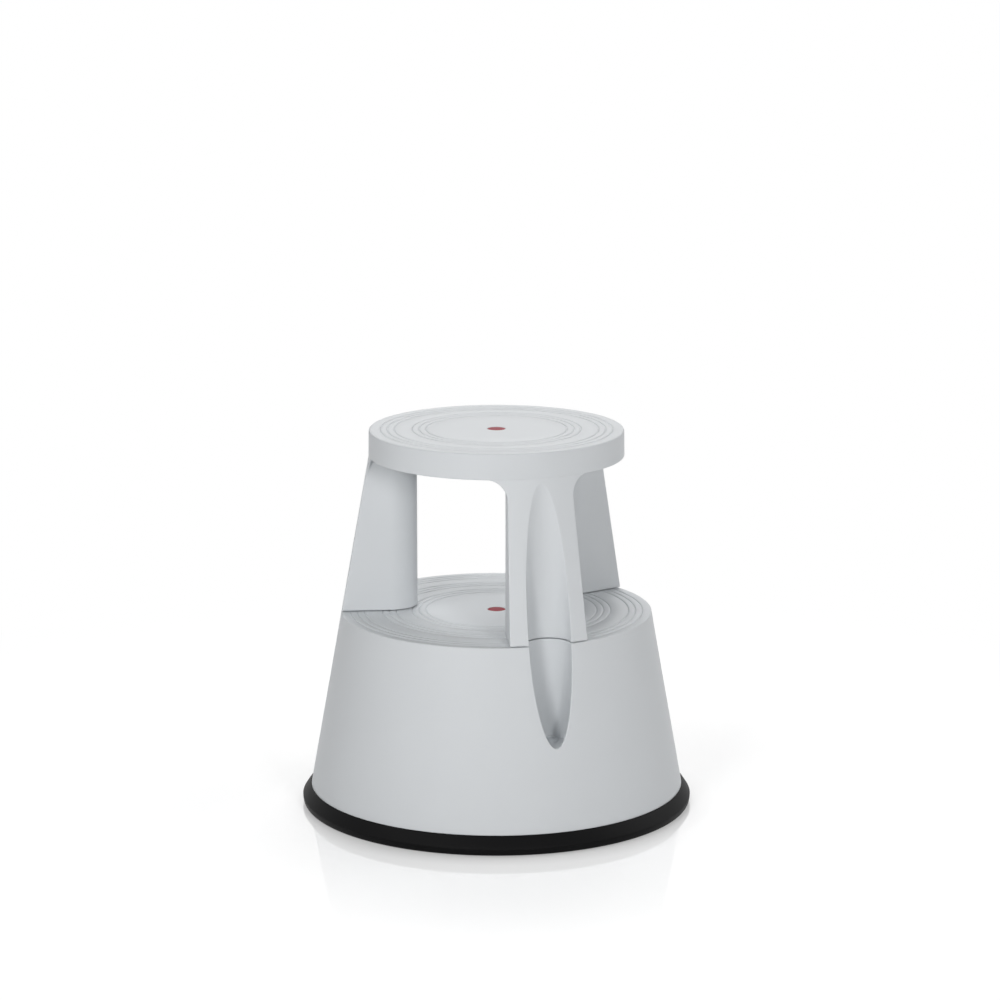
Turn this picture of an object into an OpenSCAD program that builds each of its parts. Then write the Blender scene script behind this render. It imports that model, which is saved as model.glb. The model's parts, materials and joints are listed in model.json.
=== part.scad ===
// Rolling kick step: a round upper step on three fluted legs, standing on a conical base
// whose top is the lower step. Three sprung twin-wheel casters sit inside the base.
// Origin at the floor under the middle, +Z up. One leg points towards -Y.

/* [Steps] */
// Height of the upper step above the floor
stool_h = 430; // [420:1:445]
// Height of the lower step above the floor
step_h = 222; // [212:1:232]
// Diameter of the upper step at its rim
top_d = 285.8; // [276:0.2:296]
// Diameter of the lower step at its rim
step_d = 350; // [342:1:358]
// Height of the band round the upper step
band_h = 29; // [27:1:34]
// How much the band narrows towards its rim, on the radius
band_draft = 0.4; // [0.2:0.1:0.8]
// How far the legs' outer faces lie inside the band's lower edge
leg_set = 0.3; // [0.2:0.1:0.6]
// Thickness of both step plates
plate_t = 4; // [3.5:0.5:5]
// Thickness of the moulded walls
wall_t = 3.2; // [2.8:0.2:3.8]
// Rounding of the upper step's rim
rim_round = 2; // [1:0.5:3]
// Rounding of the lower step's rim
step_round = 1.5; // [1:0.5:2.5]

/* [Grooves] */
// Grooves in one group
groove_count = 3; // [2:1:3]
// Distance from one groove to the next
groove_pitch = 7.8; // [7:0.2:8.4]
// Width of a groove
groove_w = 1.6; // [1.2:0.2:2]
// Depth of a groove
groove_deep = 0.7; // [0.4:0.1:0.8]
// Radius of the innermost groove of the upper step's first group
top_groove_a = 79; // [74:1:82]
// Radius of the innermost groove of the upper step's second group
top_groove_b = 114.5; // [110:0.5:118]
// Radius of the innermost groove of the lower step's first group
low_groove_a = 80; // [76:1:84]
// Radius of the innermost groove of the lower step's second group
low_groove_b = 113; // [110:1:116]
// Radius of the innermost groove of the lower step's third group
low_groove_c = 149; // [146:1:151]

/* [Legs] */
// Half of the angle between a leg's two side walls
leg_half_angle = 15; // [14:0.5:16]
// Radius of the leg's rounded inner back
nose_r = 32; // [29:1:34]
// Radius of the corners between the band and the legs
corner_r = 24; // [18:1:28]
// Height and depth of the shadow gap round a leg's foot
seam = 1.2; // [0.8:0.2:1.6]

/* [Flutes] */
// Half of the flute's width
flute_r = 24.5; // [23:0.5:25.5]
// Height at which the flute runs out on the leg
flute_top = 397; // [390:1:399]
// Height at which the flute starts to narrow downwards
flute_bend = 230; // [226:1:240]
// Height of the flute's lower tip
flute_tip = 111; // [100:1:125]

/* [Rubber ring] */
// Gap between the ring and the floor
ring_gap = 1.2; // [1:0.1:2]
// Height of the ring's upper lip above the floor
ring_top = 21.6; // [19:0.2:24]
// Height of the ring's widest line above the floor
ring_mid = 9; // [7:0.5:10]
// How far the ring's widest line stands outside the cone
ring_proud = 7.8; // [6:0.2:9]
// How far the ring draws in below its widest line
ring_tuck = 2.4; // [2:0.2:4]
// How flat the ring's upper slope is: 1 is a quarter round, 2 a straight slope
ring_slope = 1.9; // [1:0.1:2]
// Thickness of the lip inside the base wall
lip_t = 3; // [2:0.5:4]

/* [Caps and leg screws] */
// Diameter of the round cap in the middle of each step
cap_d = 20.4; // [18:0.2:22]
// Thickness of the cap's head
cap_t = 1.6; // [1.2:0.2:1.8]
// Diameter of the cap's snap stem
cap_stem_d = 10; // [8:0.5:11]
// Diameter of a leg screw's shaft
screw_d = 4; // [3.5:0.5:4.5]
// Diameter of the posts that take the leg screws
post_d = 10; // [9:0.5:11]
// Length of a leg screw under its head
screw_l = 22; // [18:1:26]

/* [Casters] */
// Distance of a caster's swivel axis from the stool's middle
pivot_r = 152; // [150:1:154]
// Diameter of a caster wheel
wheel_d = 38; // [36:1:40]
// Width of a caster wheel
wheel_w = 13; // [11:0.5:14]
// Distance between the swivel axis and the axle
trail = 14; // [13:0.5:15]
// Diameter of the axle
axle_d = 6; // [5:0.5:6]
// Thickness of the fork's middle web
web_t = 9.4; // [8:0.2:10]
// Diameter of the swivel stem
stem_d = 11; // [10:0.5:11]
// How far a caster can be pushed up
travel = 8; // [6:0.5:9]
// Diameter of the plunger's barrel
barrel_d = 25; // [24:0.5:26]
// Diameter of the plunger's flange
flange_d = 34; // [33:0.5:35]
// Outer diameter of the caster housing in the base
housing_d = 48; // [47:0.5:50]
// Diameter of the spring's wire
wire_d = 1.8; // [1.4:0.1:2]
// Mean diameter of the spring's coils
coil_d = 15.6; // [15:0.2:16]
// Length of the spring at rest
spring_l = 48; // [44:1:52]

/* [Hidden] */
$fn = 96;

leg_angles = [-90, 30, 150];
caster_angles = [-30, 90, 210];
fit = 0.1;           // gap round fixed pieces that fit into each other
run = 0.05;          // radial gap of running shafts
face_gap = 0.3;      // gap between faces that move past each other
over = 1;            // how far a cutting solid passes a face
reach_over = 10;     // how far the legs' and flutes' solids run out past the cone
kiss = 0.1;          // how far a leg's round back stands past its side walls
arc_step = 10;       // degrees between the points of a rounded outline

// Steps and cone
top_r = top_d / 2;
step_r = step_d / 2;
band_z = stool_h - band_h;
band_r = top_r + band_draft;
cone_top_r = band_r - leg_set;
cone_slope = (step_r - cone_top_r) / (band_z - step_h);
function cone_r(z) = step_r + (step_h - z) * cone_slope;
plate_low = stool_h - plate_t;
floor_low = step_h - plate_t;

// Legs and flutes
nose_c = nose_r / sin(leg_half_angle);
leg_reach = step_r + 2 * reach_over;
flute_back = cone_r(flute_top);
flute_c = flute_back + flute_r;
flute_reach = cone_r(0) - flute_c + reach_over;
floor_drop = 1;          // how far the pocket's floor lies below the tip of its opening

// Ribs and hubs under the plates
rib_t = 2.4;
rib_h = 14;
rib_step = 30;
hub_r = 14;
hub_bore_r = 8;
hub_h = 18;

// Leg screws and their posts, two in each leg beside the nose
post_angle = 110;
post_bite = 1.5;
post_dist = nose_r - wall_t - post_d / 2 + post_bite;
post_x = nose_c + post_dist * cos(post_angle);
post_y = post_dist * sin(post_angle);
post_h = screw_l + 4;
screw_head_r = screw_d;
screw_head_h = 2.6;

// Casters, from the floor up
wheel_r = wheel_d / 2;
crown_gap = 1.3;
crown_t = 2;
fork_top = wheel_d + 6;
stem_deep = 10;
stem_in = 20;
cup_deep = 22;
stem_low = fork_top - stem_deep;
cover_t = 6;
cover_low = fork_top + travel + 6;
housing_low = cover_low + cover_t;
barrel_low = fork_top + face_gap;
flange_h = 8;
flange_low = housing_low + face_gap;
flange_top = flange_low + flange_h;
stop_z = flange_top + travel + face_gap;
stem_top = barrel_low + stem_in;
cup_floor = stem_top + 4;
cup_r = coil_d / 2 + wire_d / 2 + 0.6;
barrel_top = cup_floor + cup_deep;
spring_top = cup_floor + spring_l;
seat_t = 4;
housing_top = spring_top + seat_t;
clip_z = stem_top - 6;
clip_h = 1.4;
clip_bite = 0.8;
clip_proud = 0.6;
cover_screw_d = 3;
cover_screw_l = 14;
cover_screw_r = (housing_d + flange_d) / 4;
cover_head_h = 1.8;
wheel_in = web_t / 2 + 0.4;
wheel_out = wheel_in + wheel_w;
hub_face = wheel_out - 2.2;
axle_head_r = axle_d / 2 + 1.4;
axle_head_h = 1.4;
spring_turns = 7;
coil_steps = 14;
wire_sides = 6;

// One point of a quarter of an ellipse, a running from 0 to 90
function quarter(r, z, dr, dz, a) = [r + dr * cos(a), z + dz * sin(a)];

// The same solid at each leg
module at_legs() {
    for (a = leg_angles) rotate([0, 0, a]) children();
}

// A solid placed on caster k's swivel axis, turned so that it trails towards -Y
module at_caster(k) {
    translate([pivot_r * cos(caster_angles[k - 1]), pivot_r * sin(caster_angles[k - 1]), 0]) children();
}

// The cone that holds the outer faces of the legs and of the base, drawn in by inset
module cone_solid(z_low, z_high, inset) {
    rotate_extrude() polygon([
        [0, z_low], [cone_r(z_low) - inset, z_low], [cone_r(z_high) - inset, z_high], [0, z_high]]);
}

// A leg's section seen from above, x pointing outwards
module leg_section(inset) {
    nose = nose_r - inset;
    tip = inset / sin(leg_half_angle);
    touch_x = nose_c - nose * sin(leg_half_angle);
    touch_y = nose * cos(leg_half_angle);
    reach_y = (leg_reach - tip) * tan(leg_half_angle);
    translate([nose_c, 0]) circle(nose + kiss);
    polygon([[touch_x, -touch_y], [leg_reach, -reach_y], [leg_reach, reach_y], [touch_x, touch_y]]);
}

// Everything that a leg's walls enclose from z_low up to z_high inside the band, drawn in by inset
module leg_body(z_low, z_high, inset) {
    inner_r = band_r - wall_t / 2 - inset;
    intersection() {
        translate([0, 0, z_low]) linear_extrude(z_high - z_low) leg_section(inset);
        rotate_extrude() polygon([
            [0, z_low], [cone_r(z_low) - inset, z_low], [cone_top_r - inset, band_z],
            [inner_r, band_z + wall_t], [inner_r, z_high], [0, z_high]]);
    }
}

// The drawn-in foot below each leg's shadow gap
module leg_foot() {
    intersection() {
        translate([0, 0, step_h]) linear_extrude(2 * seam) leg_section(seam);
        cone_solid(step_h, step_h + 2 * seam, seam);
    }
}

// The scoop that cuts one flute: a bullet with a straight slot outwards, grown all round by grow
module flute_tool(grow) {
    half_w = flute_r + grow;
    drop = flute_bend - flute_tip + grow;
    bend = [for (a = [0 : arc_step : 80]) quarter(0, flute_bend, half_w, -drop, a)];
    back = [for (a = [80 : -arc_step : 0]) quarter(0, flute_bend, -half_w, -drop, a)];
    translate([flute_c, 0, 0]) {
        rotate_extrude() polygon(concat([[0, stool_h], [half_w, stool_h]], bend, [[0, flute_bend - drop]]));
        rotate([90, 0, 90]) linear_extrude(flute_reach)
            polygon(concat([[half_w, stool_h]], bend, [[0, flute_bend - drop]], back, [[-half_w, stool_h]]));
    }
}

// The flute's pocket in the base: an upright round bore with a flat floor, which opens through the cone's face
module pocket_tool(grow) {
    half_w = flute_r + grow;
    drop = flute_bend - flute_tip + grow;
    low = flute_tip - floor_drop - grow;
    bend = [for (a = [0 : arc_step : 80]) quarter(0, flute_bend, half_w, -drop, a)];
    back = [for (a = [80 : -arc_step : 0]) quarter(0, flute_bend, -half_w, -drop, a)];
    translate([flute_c, 0, low]) cylinder(h = step_h + over - low, r = half_w);
    intersection() {
        translate([flute_c, -half_w, low]) cube([flute_reach, 2 * half_w, step_h + over - low]);
        translate([flute_c, 0, 0]) rotate([90, 0, 90]) linear_extrude(flute_reach)
            polygon(concat([[half_w, stool_h]], bend, [[0, flute_bend - drop]], back, [[-half_w, stool_h]]));
    }
}

// Concentric grooves that start at radius first, in a surface at height z
module groove_group(first, z) {
    ball = (groove_w * groove_w / 4 + groove_deep * groove_deep) / (2 * groove_deep);
    for (i = [0 : groove_count - 1])
        rotate_extrude() translate([first + i * groove_pitch, z + ball - groove_deep]) circle(ball, $fn = 24);
}

// Radial ribs and a centre hub that hang under a plate
module under_ribs(z, reach) {
    for (a = [0 : rib_step : 330]) rotate([0, 0, a + rib_step / 2])
        translate([hub_bore_r + 1, -rib_t / 2, z - rib_h]) cube([reach - hub_bore_r, rib_t, rib_h + over]);
    translate([0, 0, z - hub_h]) cylinder(h = hub_h + over, r = hub_r);
}

// Seat and snap hole of a centre cap in a plate whose surface is at height z
module cap_seat(z) {
    translate([0, 0, z - cap_t - fit]) cylinder(h = cap_t + fit + over, r = cap_d / 2 + fit);
    translate([0, 0, z - plate_t - over]) cylinder(h = plate_t, r = cap_stem_d / 2 + fit);
    translate([0, 0, z - plate_t - hub_h - over]) cylinder(h = hub_h + over, r = hub_bore_r);
}

// Thin webs that round the corners between the band and the legs' outer faces
module corner_webs() {
    intersection() {
        difference() {
            cone_solid(band_z - corner_r - over, band_z + over, 0);
            cone_solid(band_z - corner_r - 2 * over, band_z + 2 * over, wall_t);
        }
        at_legs() for (side = [-1, 1]) rotate([0, 0, side * leg_half_angle])
            rotate([90, 0, 90]) linear_extrude(step_r) corner_piece(side);
    }
}

// The piece between a corner's two edges and its arc, beside a leg's side wall
module corner_piece(side) {
    difference() {
        translate([side > 0 ? -over : -corner_r, band_z - corner_r]) square([corner_r + over, corner_r + over]);
        translate([side * corner_r, band_z - corner_r]) circle(corner_r);
    }
}

// The upper step's rim and band as a closed disc
module band_disc() {
    rim = [for (a = [0 : arc_step * 3 : 90]) quarter(top_r - rim_round, stool_h - rim_round, rim_round, rim_round, a)];
    rotate_extrude() polygon(concat([[0, band_z], [band_r, band_z]], rim, [[0, stool_h]]));
}

module leg_posts() {
    for (side = [-1, 1]) translate([post_x, side * post_y, step_h]) cylinder(h = post_h, r = post_d / 2);
}

module leg_post_holes() {
    for (side = [-1, 1]) translate([post_x, side * post_y, step_h - over])
        cylinder(h = screw_l - plate_t + 1 + over, r = screw_d / 2 + run);
}

module upper_shell() {
    color("gainsboro") difference() {
        union() {
            difference() {
                union() {
                    difference() {
                        band_disc();
                        translate([0, 0, band_z - over]) cylinder(h = plate_low - band_z + over, r = band_r - wall_t);
                    }
                    at_legs() leg_body(step_h + seam, plate_low + over, 0);
                    at_legs() leg_foot();
                    corner_webs();
                }
                at_legs() difference() {
                    leg_body(step_h - over, plate_low, wall_t);
                    flute_tool(wall_t);
                }
            }
            intersection() {
                under_ribs(plate_low, top_r);
                cylinder(h = stool_h, r = band_r - wall_t + 0.5);
            }
            at_legs() leg_posts();
        }
        at_legs() flute_tool(0);
        at_legs() intersection() {
            flute_tool(seam);
            translate([0, -leg_reach / 2, step_h - over]) cube([leg_reach, leg_reach, seam + over]);
        }
        at_legs() leg_post_holes();
        groove_group(top_groove_a, stool_h);
        groove_group(top_groove_b, stool_h);
        cap_seat(stool_h);
    }
}

// Housing that guides one caster plunger, with the ribs that tie it to the plate and the cone
module housing_block() {
    translate([0, 0, housing_low]) cylinder(h = housing_top - housing_low, r = housing_d / 2);
    translate([-housing_d / 2, -rib_t / 2, housing_top - over]) cube([housing_d, rib_t, step_h - housing_top]);
    translate([0, -rib_t / 2, housing_low + rib_h]) cube([step_r, rib_t, step_h - housing_low - rib_h - over]);
    translate([-rib_t / 2, -housing_d / 2, housing_top - over]) cube([rib_t, housing_d, step_h - housing_top]);
}

module housing_bores() {
    translate([0, 0, housing_low - over]) cylinder(h = stop_z - housing_low + over, r = flange_d / 2 + fit);
    translate([0, 0, stop_z - over]) cylinder(h = spring_top - stop_z + over, r = barrel_d / 2 + fit);
    for (side = [-1, 1]) translate([0, side * cover_screw_r, housing_low - over])
        cylinder(h = cover_screw_l - cover_t + 1 + over, r = cover_screw_d / 2 + run);
}

module at_casters() {
    for (a = caster_angles) rotate([0, 0, a]) translate([pivot_r, 0, 0]) children();
}

module base_shell() {
    foot_z = ring_gap + 4;
    rim = [for (a = [0 : arc_step * 3 : 90])
        quarter(step_r - step_round, step_h - step_round, step_round, step_round, a)];
    color("gainsboro") difference() {
        union() {
            difference() {
                rotate_extrude() polygon(concat([[0, foot_z], [cone_r(foot_z), foot_z]], rim, [[0, step_h]]));
                cone_solid(foot_z - over, floor_low, wall_t);
            }
            intersection() {
                union() {
                    at_legs() pocket_tool(wall_t);
                    at_casters() housing_block();
                    under_ribs(floor_low, step_r);
                }
                cone_solid(foot_z, floor_low + over, wall_t / 2);
            }
        }
        at_legs() pocket_tool(0);
        at_legs() for (side = [-1, 1]) translate([post_x, side * post_y, floor_low - over])
            cylinder(h = plate_t + 2 * over, r = screw_d / 2 + 0.3);
        at_casters() housing_bores();
        groove_group(low_groove_a, step_h);
        groove_group(low_groove_b, step_h);
        groove_group(low_groove_c, step_h);
        cap_seat(step_h);
    }
}

// Rubber ring that wraps the base wall's foot
module bumper_ring() {
    ring_r = cone_r(ring_mid) + ring_proud;
    lip_r = cone_r(ring_top) + fit + 1;
    lip_in = cone_r(ring_top) - wall_t - fit - lip_t;
    foot_z = ring_gap + 4;
    slot_top = ring_top - 4;
    flare = [for (a = [90 : -arc_step : 0])
        [lip_r + (ring_r - lip_r) * pow(cos(a), ring_slope),
         ring_mid + (ring_top - ring_mid) * pow(sin(a), ring_slope)]];
    under = [for (a = [arc_step : arc_step : 90])
        quarter(ring_r - ring_tuck, ring_mid, ring_tuck, ring_gap - ring_mid, a)];
    color([0.1, 0.1, 0.1]) rotate_extrude() polygon(concat(
        [[cone_r(ring_top) + fit, ring_top]], flare, under,
        [[lip_in, ring_gap], [lip_in, slot_top],
         [cone_r(slot_top) - wall_t - fit, slot_top], [cone_r(foot_z) - wall_t - fit, foot_z - fit],
         [cone_r(foot_z) + fit, foot_z - fit]]));
}

// Round centre cap, its stem snapped under the plate
module step_cap(z) {
    color("firebrick") {
        translate([0, 0, z - cap_t]) cylinder(h = cap_t, r = cap_d / 2);
        translate([0, 0, z - plate_t - fit - over]) cylinder(h = plate_t - cap_t + fit + 2 * over, r = cap_stem_d / 2);
        translate([0, 0, z - plate_t - fit - 3.5]) cylinder(h = 2.5, r1 = cap_stem_d / 2 - 0.8, r2 = cap_stem_d / 2);
        translate([0, 0, z - plate_t - fit - 1]) cylinder(h = 1, r = cap_stem_d / 2 + 0.5);
    }
}
module upper_cap() { step_cap(stool_h); }
module lower_cap() { step_cap(step_h); }

module leg_screws() {
    color("silver") at_legs() for (side = [-1, 1]) translate([post_x, side * post_y, floor_low]) {
        translate([0, 0, -screw_head_h]) cylinder(h = screw_head_h, r = screw_head_r);
        translate([0, 0, -over / 2]) cylinder(h = screw_l + over / 2, r = screw_d / 2);
    }
}

// Cover screwed under a housing, which holds the plunger in
module housing_cover(k) {
    color("dimgray") at_caster(k) rotate([0, 0, caster_angles[k - 1]]) difference() {
        translate([0, 0, cover_low]) cylinder(h = cover_t, r = housing_d / 2);
        translate([0, 0, cover_low - over]) cylinder(h = cover_t + 2 * over, r = barrel_d / 2 + run);
        for (side = [-1, 1]) translate([0, side * cover_screw_r, cover_low - over])
            cylinder(h = cover_t + 2 * over, r = cover_screw_d / 2 + run);
    }
}
module housing_cover_1() { housing_cover(1); }
module housing_cover_2() { housing_cover(2); }
module housing_cover_3() { housing_cover(3); }

module cover_screws() {
    color("silver") at_casters() for (side = [-1, 1]) translate([0, side * cover_screw_r, cover_low]) {
        translate([0, 0, -cover_head_h]) cylinder(h = cover_head_h, r = cover_screw_d - 0.2);
        translate([0, 0, -over / 2]) cylinder(h = cover_screw_l + over / 2, r = cover_screw_d / 2);
    }
}

// Plunger that slides in the housing, with the stem's bore below and the spring's cup above
module plunger(k) {
    color("whitesmoke") at_caster(k) difference() {
        union() {
            translate([0, 0, barrel_low]) cylinder(h = barrel_top - barrel_low, r = barrel_d / 2);
            translate([0, 0, flange_low]) cylinder(h = flange_h, r = flange_d / 2);
        }
        translate([0, 0, barrel_low - over]) cylinder(h = stem_top - barrel_low + over + 1, r = stem_d / 2 + run);
        translate([0, 0, clip_z - face_gap]) cylinder(h = clip_h + 2 * face_gap, r = stem_d / 2 + clip_proud + face_gap);
        translate([0, 0, cup_floor]) cylinder(h = barrel_top - cup_floor + over, r = cup_r);
    }
}
module plunger_1() { plunger(1); }
module plunger_2() { plunger(2); }
module plunger_3() { plunger(3); }

// Height of the coil's middle after t turns, its first and last turns lying flat
function coil_z(t) =
    let (low = cup_floor + wire_d / 2 + fit, high = spring_top - wire_d / 2 - fit, flat = 1.05 * wire_d)
    t < 1 ? low + flat * t
    : t > spring_turns - 1 ? high - flat * (spring_turns - t)
    : low + flat + (high - low - 2 * flat) * (t - 1) / (spring_turns - 2);

// Compression spring between the plunger's cup and the housing's seat
module spring(k) {
    rings = spring_turns * coil_steps;
    points = [for (i = [0 : rings], j = [0 : wire_sides - 1])
        let (turn = 360 * i / coil_steps, side = 360 * j / wire_sides,
             r = coil_d / 2 + wire_d / 2 * cos(side))
        [r * cos(turn), r * sin(turn), coil_z(i / coil_steps) + wire_d / 2 * sin(side)]];
    start = [[for (j = [0 : wire_sides - 1]) j]];
    end = [[for (j = [wire_sides - 1 : -1 : 0]) rings * wire_sides + j]];
    sides = [for (i = [0 : rings - 1], j = [0 : wire_sides - 1])
        let (n = (j + 1) % wire_sides, a = i * wire_sides, b = a + wire_sides)
        [a + j, b + j, b + n, a + n]];
    color("darkgray") at_caster(k) polyhedron(points, concat(start, sides, end));
}
module spring_1() { spring(1); }
module spring_2() { spring(2); }
module spring_3() { spring(3); }

// A cylinder along X through the axle, from x = low to x = high
module along_axle(low, high, r) {
    translate([low, -trail, wheel_r]) rotate([0, 90, 0]) cylinder(h = high - low, r = r);
}

// Hooded fork: a middle web between the wheels, a crown over them and a socket for the stem
module fork(k) {
    crown_in = wheel_r + crown_gap;
    crown_r = crown_in + crown_t;
    color([0.15, 0.15, 0.15]) at_caster(k) difference() {
        union() {
            intersection() {
                difference() {
                    along_axle(-wheel_out - 0.4, wheel_out + 0.4, crown_r);
                    along_axle(-wheel_out - over, wheel_out + over, crown_in);
                }
                translate([-wheel_out - over, -trail - crown_r - over, wheel_r + 2])
                    cube([2 * wheel_out + 2 * over, 2 * crown_r + 2 * over, crown_r + over]);
            }
            intersection() {
                along_axle(-web_t / 2, web_t / 2, crown_in + 0.5);
                union() {
                    translate([-web_t / 2, -trail - crown_r, wheel_r]) cube([web_t, 2 * crown_r, crown_r]);
                    along_axle(-web_t / 2, web_t / 2, axle_d / 2 + 4);
                }
            }
            difference() {
                translate([0, 0, wheel_r]) cylinder(h = fork_top - wheel_r, r = stem_d / 2 + 4);
                along_axle(-wheel_out - over, wheel_out + over, crown_in);
            }
        }
        along_axle(-web_t / 2 - over, web_t / 2 + over, axle_d / 2 + 0.02);
        translate([0, 0, stem_low]) cylinder(h = stem_deep + over, r = stem_d / 2 + 0.02);
    }
}
module fork_1() { fork(1); }
module fork_2() { fork(2); }
module fork_3() { fork(3); }

// Steel swivel stem, pressed into the fork
module stem(k) {
    color("silver") at_caster(k) difference() {
        translate([0, 0, stem_low]) cylinder(h = stem_top - stem_low, r = stem_d / 2);
        translate([0, 0, clip_z]) difference() {
            cylinder(h = clip_h, r = stem_d / 2 + over);
            translate([0, 0, -over]) cylinder(h = clip_h + 2 * over, r = stem_d / 2 - clip_bite);
        }
    }
}
module stem_1() { stem(1); }
module stem_2() { stem(2); }
module stem_3() { stem(3); }

// Split ring in the stem's groove, which holds the stem in the plunger
module stem_clip(k) {
    color("dimgray") at_caster(k) translate([0, 0, clip_z + run]) difference() {
        cylinder(h = clip_h - 2 * run, r = stem_d / 2 + clip_proud);
        translate([0, 0, -over]) cylinder(h = clip_h + 2 * over, r = stem_d / 2 - clip_bite + run);
        translate([0, -1, -over]) cube([stem_d, 2, clip_h + 2 * over]);
    }
}
module stem_clip_1() { stem_clip(1); }
module stem_clip_2() { stem_clip(2); }
module stem_clip_3() { stem_clip(3); }

// Axle pressed through the fork's web, with a riveted head at each end
module axle(k) {
    color("silver") at_caster(k) {
        along_axle(-hub_face - face_gap - axle_head_h, hub_face + face_gap + axle_head_h, axle_d / 2);
        along_axle(-hub_face - face_gap - axle_head_h, -hub_face - face_gap, axle_head_r);
        along_axle(hub_face + face_gap, hub_face + face_gap + axle_head_h, axle_head_r);
    }
}
module axle_1() { axle(1); }
module axle_2() { axle(2); }
module axle_3() { axle(3); }

// One wheel on the side given by side, its outer face dished round the hub
module wheel(k, side) {
    edge = 2;
    dish_r = wheel_r - 5;
    hub_out_r = axle_head_r + 1.6;
    color([0.2, 0.2, 0.2]) at_caster(k) translate([0, -trail, wheel_r]) rotate([0, side * 90, 0])
        rotate_extrude() polygon([
            [axle_d / 2 + run, wheel_in], [wheel_r - edge, wheel_in], [wheel_r, wheel_in + edge],
            [wheel_r, wheel_out - edge], [wheel_r - edge, wheel_out], [dish_r, wheel_out],
            [dish_r - 1, wheel_out - 4], [hub_out_r, wheel_out - 4], [hub_out_r, hub_face],
            [axle_d / 2 + run, hub_face]]);
}
module left_wheel_1() { wheel(1, -1); }
module left_wheel_2() { wheel(2, -1); }
module left_wheel_3() { wheel(3, -1); }
module right_wheel_1() { wheel(1, 1); }
module right_wheel_2() { wheel(2, 1); }
module right_wheel_3() { wheel(3, 1); }

upper_shell();
base_shell();
bumper_ring();
upper_cap();
lower_cap();
leg_screws();
housing_cover_1();
housing_cover_2();
housing_cover_3();
cover_screws();
plunger_1();
plunger_2();
plunger_3();
spring_1();
spring_2();
spring_3();
fork_1();
fork_2();
fork_3();
stem_1();
stem_2();
stem_3();
stem_clip_1();
stem_clip_2();
stem_clip_3();
axle_1();
axle_2();
axle_3();
left_wheel_1();
left_wheel_2();
left_wheel_3();
right_wheel_1();
right_wheel_2();
right_wheel_3();
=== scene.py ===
import json
import math

import bpy
import numpy as np
from mathutils import Matrix


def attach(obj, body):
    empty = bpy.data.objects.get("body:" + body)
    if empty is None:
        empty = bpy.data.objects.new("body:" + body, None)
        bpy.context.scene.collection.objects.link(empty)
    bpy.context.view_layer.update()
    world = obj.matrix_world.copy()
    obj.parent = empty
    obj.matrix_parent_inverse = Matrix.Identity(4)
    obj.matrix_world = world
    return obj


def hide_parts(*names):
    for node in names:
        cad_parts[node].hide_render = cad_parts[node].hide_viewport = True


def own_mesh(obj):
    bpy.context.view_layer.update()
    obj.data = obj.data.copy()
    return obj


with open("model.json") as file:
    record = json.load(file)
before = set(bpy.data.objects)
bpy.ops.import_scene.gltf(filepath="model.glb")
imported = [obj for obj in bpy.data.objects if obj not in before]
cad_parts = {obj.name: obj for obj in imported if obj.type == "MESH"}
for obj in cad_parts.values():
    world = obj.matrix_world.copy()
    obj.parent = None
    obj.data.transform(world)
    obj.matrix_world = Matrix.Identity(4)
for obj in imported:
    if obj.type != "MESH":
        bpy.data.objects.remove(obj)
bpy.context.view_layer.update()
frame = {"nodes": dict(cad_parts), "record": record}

mm = 0.001
legAngles = (-90, 30, 150)
casterAngles = (-30, 90, 210)

print("stage: helpers")


def pick(*objects):
    if bpy.context.object and bpy.context.object.mode != "OBJECT":
        bpy.ops.object.mode_set(mode="OBJECT")
    bpy.ops.object.select_all(action="DESELECT")
    for obj in objects:
        obj.select_set(True)
    bpy.context.view_layer.objects.active = objects[0]
    return objects[0]


def applied(obj, kind, **values):
    pick(obj)
    bpy.ops.object.modifier_add(type=kind)
    modifier = obj.modifiers[-1]
    for key, value in values.items():
        setattr(modifier, key, value)
    bpy.ops.object.modifier_apply(modifier=modifier.name)
    return obj


def smoothed(obj, degrees=35):
    pick(obj)
    bpy.ops.object.shade_smooth_by_angle(angle=math.radians(degrees))
    return obj


def tidied(obj):
    # welds the seams, closes the ends and turns every face outwards
    pick(obj)
    bpy.ops.object.mode_set(mode="EDIT")
    bpy.ops.mesh.select_all(action="SELECT")
    bpy.ops.mesh.remove_doubles(threshold=2e-6)
    bpy.ops.mesh.select_all(action="SELECT")
    bpy.ops.mesh.fill_holes(sides=0)
    bpy.ops.mesh.select_all(action="SELECT")
    bpy.ops.mesh.normals_make_consistent(inside=False)
    bpy.ops.object.mode_set(mode="OBJECT")
    return obj


def lofted(name, rows, ringed=False):
    # one closed outline of points in millimetres per row; ringed joins the last row to the first
    rows = np.array(rows, float)
    grid = np.concatenate([rows, rows[:, :1]], axis=1)
    if ringed:
        grid = np.concatenate([grid, grid[:1]])
    bpy.ops.mesh.primitive_grid_add(x_subdivisions=grid.shape[1] - 1, y_subdivisions=grid.shape[0] - 1,
                                    calc_uvs=False)
    obj = bpy.context.object
    obj.name = obj.data.name = name
    obj.data.vertices.foreach_set("co", (grid * mm).ravel())
    obj.data.update()
    return tidied(obj)


def spun(name, profile, steps):
    # a closed section of (radius, height) points turned round the Z axis
    angles = np.arange(steps) * 2 * math.pi / steps
    rows = [[(r * math.cos(a), r * math.sin(a), z) for a in angles] for r, z in profile]
    return lofted(name, rows, ringed=True)


def arcPoints(cx, cz, rx, rz, start, end, count):
    angles = np.radians(np.linspace(start, end, count + 1))
    return [(cx + rx * math.cos(a), cz + rz * math.sin(a)) for a in angles]


def turned(points, degrees):
    a = math.radians(degrees)
    p = np.array(points, float)
    return np.stack([p[..., 0] * math.cos(a) - p[..., 1] * math.sin(a),
                     p[..., 0] * math.sin(a) + p[..., 1] * math.cos(a), p[..., 2]], axis=-1)


def moved(obj, matrix):
    obj.data.transform(matrix)
    obj.data.update()
    return obj


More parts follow.
